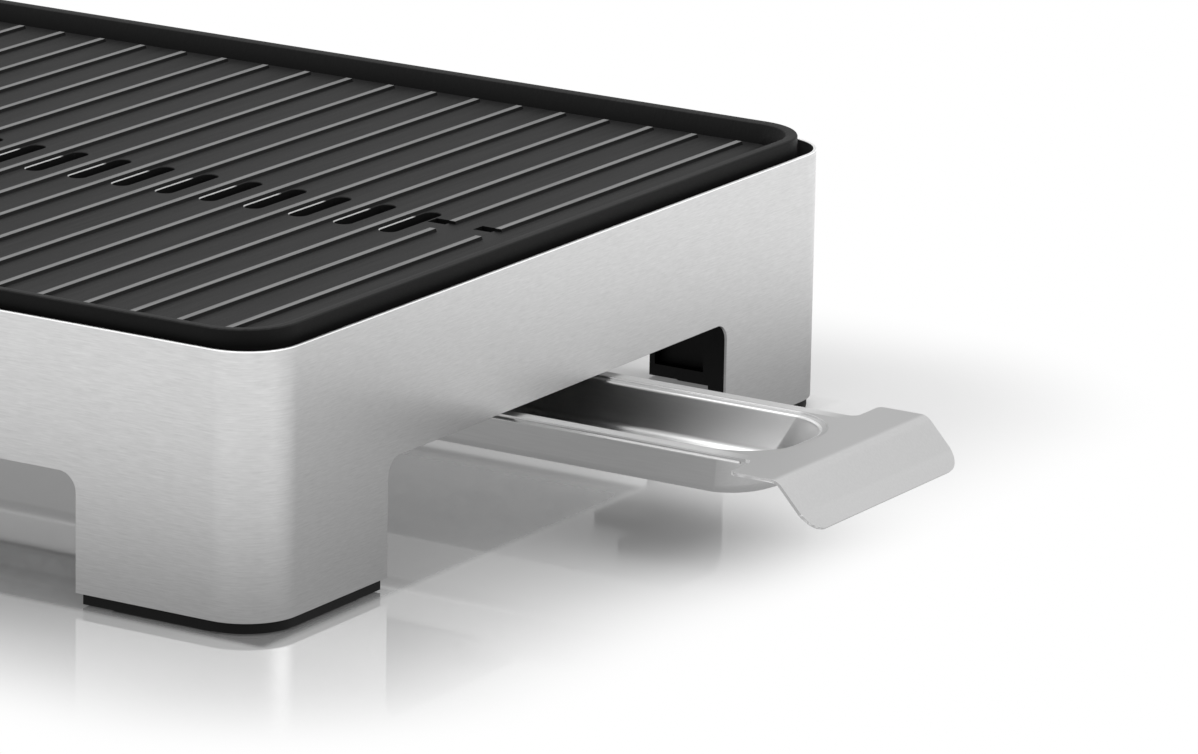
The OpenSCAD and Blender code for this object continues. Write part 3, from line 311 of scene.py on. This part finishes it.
def rubber(name, colour, roughness=0.6):
    """Matt rubber or silicone, mottled with a paler tone of its colour."""
    m = Shader(name)
    paler = 1.25
    grain = m.noise(2400.0, 2.0, 0.6)
    pale = tuple(min(1.0, c * paler) for c in colour[:3]) + (1.0,)
    m.surface(Base_Color=m.blend(grain, colour, pale), Roughness=roughness,
              Specular_IOR_Level=0.3, Normal=m.bump(grain, 0.25, 0.00005))
    return m.material


def element_sheath():
    """Element tube with the blue and straw tints of heat."""
    m = Shader("element_sheath")
    tint = m.noise(16.0, 3.0, 0.6)
    colour = m.blend(m.remap(tint, 0.35, 0.65, 0, 1), (0.16, 0.15, 0.17, 1), (0.30, 0.25, 0.18, 1))
    m.surface(Base_Color=colour, Metallic=1.0, Roughness=0.45,
              Normal=m.bump(m.noise(1400.0), 0.2, 0.00004))
    return m.material


def ceramic():
    """Unglazed ceramic, faintly cloudy."""
    m = Shader("ceramic")
    grain = m.noise(1500.0, 3.0, 0.6)
    colour = m.blend(m.remap(m.noise(60.0), 0.4, 0.7, 0, 1), (0.80, 0.77, 0.70, 1),
                     (0.74, 0.70, 0.62, 1))
    m.surface(Base_Color=colour, Roughness=0.55, Normal=m.bump(grain, 0.2, 0.00005))
    return m.material


def plain_metal(name, colour, dull):
    """Bare metal with duller clouds."""
    m = Shader(name)
    cloud = m.noise(120.0, 3.0, 0.6)
    m.surface(Base_Color=m.blend(m.remap(cloud, 0.35, 0.65, 0, 1), colour, dull), Metallic=1.0,
              Roughness=m.remap(cloud, 0.35, 0.65, 0.28, 0.4),
              Normal=m.bump(m.noise(1800.0), 0.1, 0.00003))
    return m.material


def lens_red():
    """Clear red lens with fine rings."""
    m = Shader("lens_red")
    ribs = m.node("ShaderNodeTexWave", {"Vector": m.place, "Scale": 260.0},
                  wave_type="RINGS", rings_direction="X").outputs["Fac"]
    m.surface(Base_Color=m.blend(ribs, (0.62, 0.03, 0.02, 1), (0.75, 0.06, 0.03, 1)),
              Roughness=0.12, Transmission_Weight=0.6, IOR=1.49,
              Normal=m.bump(ribs, 0.15, 0.0001))
    return m.material


def make_materials():
    """One material for each slot of the record, on every CAD node."""
    wire_roughness = 0.45
    made = {
        "brushed_steel": brushed_steel(),
        "tray_steel": tray_steel(),
        "bright_steel": bright_steel(),
        "zinc_steel": zinc_steel(),
        "coated_cast": coated_cast(),
        "black_plastic": black_plastic(),
        "pad_rubber": rubber("pad_rubber", grey(0.006)),
        "element_sheath": element_sheath(),
        "ceramic": ceramic(),
        "copper": plain_metal("copper", (0.72, 0.36, 0.22, 1), (0.50, 0.25, 0.16, 1)),
        "brass": plain_metal("brass", (0.72, 0.55, 0.26, 1), (0.58, 0.44, 0.22, 1)),
        "lens_red": lens_red(),
        "wire_brown": rubber("wire_brown", (0.10, 0.045, 0.02, 1), wire_roughness),
        "wire_blue": rubber("wire_blue", (0.03, 0.09, 0.32, 1), wire_roughness),
        "wire_green": rubber("wire_green", (0.12, 0.30, 0.05, 1), wire_roughness),
    }
    for part in frame["record"]["subparts"]:
        for held in nodes[part["node"]].material_slots:
            held.material = made[part["material_slot"]]
    return made


def cleaned(node, name):
    """A named copy of a CAD node's mesh, and its bmesh with flat faces merged."""
    same_place, same_plane = 2e-6, math.radians(0.4)
    mesh = nodes[node].data.copy()
    mesh.name = name
    bm = bmesh.new()
    bm.from_mesh(mesh)
    bmesh.ops.remove_doubles(bm, verts=bm.verts, dist=same_place)
    bmesh.ops.dissolve_limit(bm, angle_limit=same_plane, verts=bm.verts, edges=bm.edges)
    return mesh, bm


def sharp_edges(bm, limit):
    """Edges between two faces that turn by more than the limit."""
    return [e for e in bm.edges if len(e.link_faces) == 2 and e.calc_face_angle(0) > limit]


def ease(bm, edges, width, segments, shrink):
    """Rounds edges. Shrink lets the width give way where edges are close."""
    bmesh.ops.bevel(bm, geom=edges, offset=width, offset_type="OFFSET", segments=segments,
                    profile=0.5, affect="EDGES", clamp_overlap=shrink)


def finished(name, mesh, bm, material):
    """The bmesh as a smooth piece of one material, linked to the scene."""
    for face in bm.faces:
        face.smooth = True
        face.material_index = 0
    bm.to_mesh(mesh)
    bm.free()
    mesh.materials.clear()
    mesh.materials.append(material)
    piece = bpy.data.objects.new(name, mesh)
    scene.collection.objects.link(piece)
    piece.modifiers.new("even_normals", "WEIGHTED_NORMAL").keep_sharp = True
    return piece


def dressed(node, body, material, passes, skip=None):
    """A finer stand-in for a CAD node: its own solid with its sharp edges eased. Each pass is a
    width, a count of segments, a test that picks edges and whether the width may shrink where
    edges are close; skip picks edges that stay square."""
    least_turn = math.radians(28)
    mesh, bm = cleaned(node, node + "_dressed")
    sharp = sharp_edges(bm, least_turn)
    for edge in sharp:
        if skip and skip(edge):
            edge.smooth = False
    sharp = [e for e in sharp if e.smooth]
    for width, segments, picks, shrink in passes:
        chosen = [e for e in sharp if e.is_valid and picks(e)]
        sharp = [e for e in sharp if e.is_valid and not picks(e)]
        ease(bm, chosen, width, segments, shrink)
    piece = finished(node + "_dressed", mesh, bm, material)
    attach(piece, body)
    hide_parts(node)


def arc(centre_u, centre_z, radius, start_deg, end_deg, steps):
    """Points of an arc in a section, its angle measured from +u towards +z."""
    angles = [math.radians(start_deg + (end_deg - start_deg) * i / steps)
              for i in range(steps + 1)]
    return [(centre_u + radius * math.cos(a), centre_z + radius * math.sin(a)) for a in angles]


def tray_sections(endward):
    """Two sections of the drawer's basin in millimetres, its upper and lower skin, from the flat
    rim inwards. Distances are measured outwards from the skeleton that the basin's corners turn
    about. The turn into the floor is tight along the sides, endward 0, and full at the ends,
    endward 1."""
    step_u, step_r, ledge_z = 22.0, 0.5, 38.6
    wall_u, wall_r, least_lip = 19.2, 0.9, 0.15
    side_fillet, end_extra = 2.4, 2.6
    floor_z, floor_u, fillet = 24.7, 18.0, side_fillet + end_extra * endward
    draft = math.degrees(math.atan2(wall_u - floor_u, ledge_z - floor_z))

    def skin(grow, level, shift):
        """Upper skin for grow 0; lower skin with the wall grown outwards by the sheet."""
        rise = ledge_z + shift
        outer = arc(step_u + grow, level - step_r, step_r, 90, 180, 4)
        outer = [(u, max(z, rise)) for u, z in outer]
        lip_r = max(wall_r - grow, least_lip)
        bend = arc(wall_u + grow + lip_r, rise - lip_r, lip_r, 90, 180 + draft, 6)
        bowl_r = fillet + grow
        bowl = arc(floor_u + grow - bowl_r, floor_z - grow + bowl_r, bowl_r, -draft, -90, 10)
        return outer + bend + bowl

    return skin(0.0, TRAY_TOP, 0.0), skin(TRAY_SHEET, TRAY_TOP - TRAY_SHEET, -TRAY_SHEET)


def in_order(loop):
    """Corners of a closed loop of edges, one after the other."""
    start = loop[0].verts[0]
    ring, last = [start], None
    while True:
        step = next(e for e in ring[-1].link_edges if e in loop and e is not last)
        other = step.other_vert(ring[-1])
        last = step
        if other is start:
            return ring
        ring.append(other)


def drawn_tray(material):
    """The drawer with its basin drawn as a deep bowl: a small step round its mouth, walls with
    a little draft, sloping ends and a tight turn into the floor. Rims, ears and handle keep the
    CAD's form, with their edges eased."""
    middle, half_run, half_across, mouth_u = 107.9 * MM, 212.4 * MM, 4.0 * MM, 23.5 * MM
    levels = (TRAY_TOP * MM, (TRAY_TOP - TRAY_SHEET) * MM)
    end_depth, end_slopes = 14.6 * MM, (13.0 * MM, 3.0 * MM)
    least_turn, curve_cuts, straight = 0.5, 3, 0.9999
    same_level, near_mouth, inside_mouth = 0.02 * MM, 0.4 * MM, 0.05 * MM
    side_y, least_upward, rolled, eased = 44.9 * MM, 0.5, 0.5 * MM, 0.22 * MM

    def from_skeleton(point):
        """The skeleton's nearest point in plan, and the way from there to the given point."""
        base = Vector((middle + max(-half_run, min(half_run, point.x - middle)),
                       max(-half_across, min(half_across, point.y))))
        away = Vector(point[:2]) - base
        return base, away

    def on_upper_side(edge):
        return (all(abs(v.co.y) > side_y for v in edge.verts)
                and any(f.normal.x + f.normal.z > least_upward for f in edge.link_faces))

    def on_mouth(edge, level):
        return edge.is_boundary and all(
            abs(v.co.z - level) < same_level
            and abs(from_skeleton(v.co)[1].length - mouth_u) < near_mouth for v in edge.verts)

    def is_curved(edge):
        return abs((edge.verts[0].co - edge.verts[1].co).normalized().x) < straight

    mesh, bm = cleaned("drip_tray", "drawn_tray")
    inner = [v for v in bm.verts if from_skeleton(v.co)[1].length < mouth_u - inside_mouth]
    bmesh.ops.delete(bm, geom=inner, context="VERTS")
    sharp = sharp_edges(bm, least_turn)
    upper = [e for e in sharp if on_upper_side(e)]
    others = [e for e in sharp if not on_upper_side(e)]
    for chosen, width, segments in ((upper, rolled, 4), (others, eased, 2)):
        ease(bm, [e for e in chosen if e.is_valid], width, segments, True)
    for skin, level in enumerate(levels):
        curved = [e for e in bm.edges if on_mouth(e, level) and is_curved(e)]
        bmesh.ops.subdivide_edges(bm, edges=curved, cuts=curve_cuts)
        ring = in_order([e for e in bm.edges if on_mouth(e, level)])
        places = [from_skeleton(v.co) for v in ring]
        for vert, (base, away) in zip(ring, places):
            vert.co.x, vert.co.y = base + away.normalized() * mouth_u
        count = len(ring)
        sections = [tray_sections(away.normalized().x ** 2)[skin] for base, away in places]
        for row in range(len(sections[0])):
            fresh = []
            for (base, away), section in zip(places, sections):
                u, z = section[row]
                out = away.normalized()
                deep = min(max((levels[0] - z * MM) / end_depth, 0), 1)
                inward = end_slopes[skin] * (1 - math.sqrt(1 - deep ** 2))
                at_end = (base.x - middle) / half_run
                slant = Vector((-inward * at_end, 0))
                fresh.append(bm.verts.new((*(base + out * u * MM + slant), z * MM)))
            for i in range(count):
                k = (i + 1) % count
                bm.faces.new((ring[i], ring[k], fresh[k], fresh[i]))
            ring = fresh
        bm.faces.new(ring)
    bmesh.ops.recalc_face_normals(bm, faces=bm.faces)
    piece = finished("drawn_tray", mesh, bm, material)
    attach(piece, "drawer")
    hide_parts("drip_tray")


def every_edge(edge):
    return True


def round_slot(edge):
    """True on the upper edge of a drain slot."""
    slot_half, same_level = 0.0151, 1e-5
    return all(abs(v.co.x) < SLOT_ROW_HALF and abs(v.co.y) < slot_half
               and abs(v.co.z - PLATE_FLOOR_Z) < same_level for v in edge.verts)


plate_low, plate_high = (Vector(corner) for corner in node_box("grill_plate"))
plate_half = (plate_high - plate_low) / 2


def on_plate_seam(edge):
    """True where the plate's floor and its rim meet, on an outline with round corners."""
    straight_half, near = 0.229, 0.00008
    half_x, half_y = plate_half[:2]
    radius = half_x - straight_half

    def off_outline(point):
        out_x = max(abs(point.x) - straight_half, 0)
        out_y = max(abs(point.y) - (half_y - radius), 0)
        return abs(math.hypot(out_x, out_y) - radius)

    return all(off_outline(v.co) < near for v in edge.verts)


def area_light(name, place, aim, size, power):
    data = bpy.data.lights.new(name, "AREA")
    data.shape = "RECTANGLE"
    data.size, data.size_y = size
    data.energy = power
    light = bpy.data.objects.new(name, data)
    light.location = place
    light.rotation_euler = (Vector(aim) - Vector(place)).to_track_quat("-Z", "Y").to_euler()
    scene.collection.objects.link(light)


def add_world():
    """White to the camera and a level light for the shadows. Reflections see bands instead, from
    the horizon up: a bright one halfway between two darker ones, and a bright top."""
    plain = 0.62
    bands = ((0.0, 0.68), (0.3, 0.6), (0.52, 1.0), (0.68, 0.7), (0.76, 0.75), (0.86, 1.1))
    world = bpy.data.worlds.new("studio")
    world.use_nodes = True
    tree = world.node_tree
    tree.nodes.clear()

    def background(strength):
        made = tree.nodes.new("ShaderNodeBackground")
        made.inputs["Color"].default_value = grey(1.0)
        if isinstance(strength, bpy.types.NodeSocket):
            tree.links.new(strength, made.inputs["Strength"])
        else:
            made.inputs["Strength"].default_value = strength
        return made.outputs[0]

    def mixed(factor, a, b):
        made = tree.nodes.new("ShaderNodeMixShader")
        for socket, value in zip(made.inputs, (factor, a, b)):
            tree.links.new(value, socket)
        return made.outputs[0]

    out = tree.nodes.new("ShaderNodeOutputWorld")
    path = tree.nodes.new("ShaderNodeLightPath")
    direction = tree.nodes.new("ShaderNodeTexCoord")
    parts = tree.nodes.new("ShaderNodeSeparateXYZ")
    tree.links.new(direction.outputs["Generated"], parts.inputs[0])
    total = None
    for (low, before), (high, after) in zip(bands, bands[1:]):
        step = tree.nodes.new("ShaderNodeMapRange")
        step.interpolation_type = "SMOOTHSTEP"
        for key, value in (("From Min", low), ("From Max", high), ("To Min", 0.0),
                           ("To Max", after - before)):
            step.inputs[key].default_value = value
        tree.links.new(parts.outputs[2], step.inputs["Value"])
        add = tree.nodes.new("ShaderNodeMath")
        add.inputs[0].default_value = bands[0][1]
        if total is not None:
            tree.links.new(total, add.inputs[0])
        tree.links.new(step.outputs[0], add.inputs[1])
        total = add.outputs[0]
    lit = mixed(path.outputs["Is Glossy Ray"], background(plain), background(total))
    seen = mixed(path.outputs["Is Camera Ray"], lit, background(1.0))
    tree.links.new(seen, out.inputs["Surface"])
    scene.world = world


def add_floor():
    """White polished table: a mirror image and a shadow close to the object, which both fade to
    plain white away from it. Reflections see an even light there without the shadow, with painted
    shade instead: dimmer beside the object and along its middle, brighter further out."""
    m = Shader("white_table")
    reach, half = 0.1, 6.0
    middle_y, side_y, middle_dim = 0.02, 0.14, 0.73
    mirror_from, mirror_to, mirror_side = 0.02, 0.055, 0.35
    half_x, half_y = node_box("housing_shell")[1][:2]
    path = m.node("ShaderNodeLightPath").outputs
    glossy = path["Is Glossy Ray"]
    seen = m.math("ADD", m.math("ADD", path["Is Camera Ray"], glossy),
                  path["Is Transmission Ray"], clamp=True)

    def beyond(index, side):
        """How far out of the housing's footprint, along one axis."""
        return m.math("MAXIMUM", m.math("SUBTRACT", m.size(m.axis(index)), side), 0.0)

    out_x, out_y = beyond(0, half_x), beyond(1, half_y)
    away = m.math("SQRT", m.math("ADD", m.math("POWER", out_x, 2.0), m.math("POWER", out_y, 2.0)))

    def fading(near, far, over, start=0.0):
        """A level near the housing that turns into another over a distance from it."""
        return m.remap(away, start, over, near, far, "SMOOTHSTEP")

    matt = m.node("ShaderNodeBsdfDiffuse", {"Color": grey(0.9)})
    glow = m.node("ShaderNodeEmission", {"Strength": 1.0})
    # Share of plain white glow: it is larger right at and under the housing than just beside it,
    # painted light that lifts the real shadow there.
    near_glow = m.math("ADD", fading(0.17, 0.08, 0.3 * reach),
                       fading(0.0, 0.92, 1.1 * reach, 0.4 * reach))
    # Painted shade for reflections: the table's glow is dimmer near the housing and along its
    # middle.
    reflected_light_with_painted_shade = fading(0.46, 1.35, 2.6 * reach)
    beside = m.remap(m.size(m.axis(1)), middle_y, side_y, middle_dim, 1.0)
    even = m.node("ShaderNodeEmission", {"Strength": m.times(reflected_light_with_painted_shade, beside)})
    share = m.times(near_glow, seen)
    table = m.node("ShaderNodeMixShader", {0: share, 1: matt.outputs[0], 2: glow.outputs[0]})
    white = m.node("ShaderNodeMixShader", {0: glossy, 1: table.outputs[0], 2: even.outputs[0]})
    gloss = m.node("ShaderNodeBsdfGlossy", {"Color": grey(1.0), "Roughness": 0.05})
    across = m.remap(m.axis(1), mirror_from, mirror_to, 1.0, mirror_side, "SMOOTHSTEP")
    image = m.math("ADD", fading(0.5, 0.0, reach), fading(0.3, 0.0, 0.05 * reach))
    mirror = m.times(m.times(image, across), m.math("SUBTRACT", 1.0, glossy))
    both = m.node("ShaderNodeMixShader", {0: mirror, 1: white.outputs[0], 2: gloss.outputs[0]})
    m.tree.links.new(both.outputs[0], m.out.inputs["Surface"])
    mesh = bpy.data.meshes.new("table_top")
    mesh.from_pydata([(-half, -half, 0), (half, -half, 0), (half, half, 0), (-half, half, 0)],
                     [], [(0, 1, 2, 3)])
    mesh.materials.append(m.material)
    top = bpy.data.objects.new("table_top", mesh)
    scene.collection.objects.link(top)


def add_lights():
    area_light("overhead", (0.2, -0.3, 2.4), (0.1, 0, 0.05), (3.0, 2.6), 23)
    area_light("right_side", (2.4, 0.6, 1.2), (0.25, 0, 0.05), (1.6, 1.2), 11)


add_camera()
materials = make_materials()
dressed("housing_shell", "base", materials["brushed_steel"],
        [(0.22 * MM, 2, every_edge, True)])
dressed("grill_plate", "plate", materials["coated_cast"],
        [(SLOT_CHAMFER, 1, round_slot, False), (0.25 * MM, 2, every_edge, True)], on_plate_seam)
dressed("plate_rim", "plate", materials["coated_cast"],
        [(0.25 * MM, 2, every_edge, True)], on_plate_seam)
drawn_tray(materials["tray_steel"])
add_world()
add_floor()
add_lights()
scene.view_settings.view_transform = "Standard"
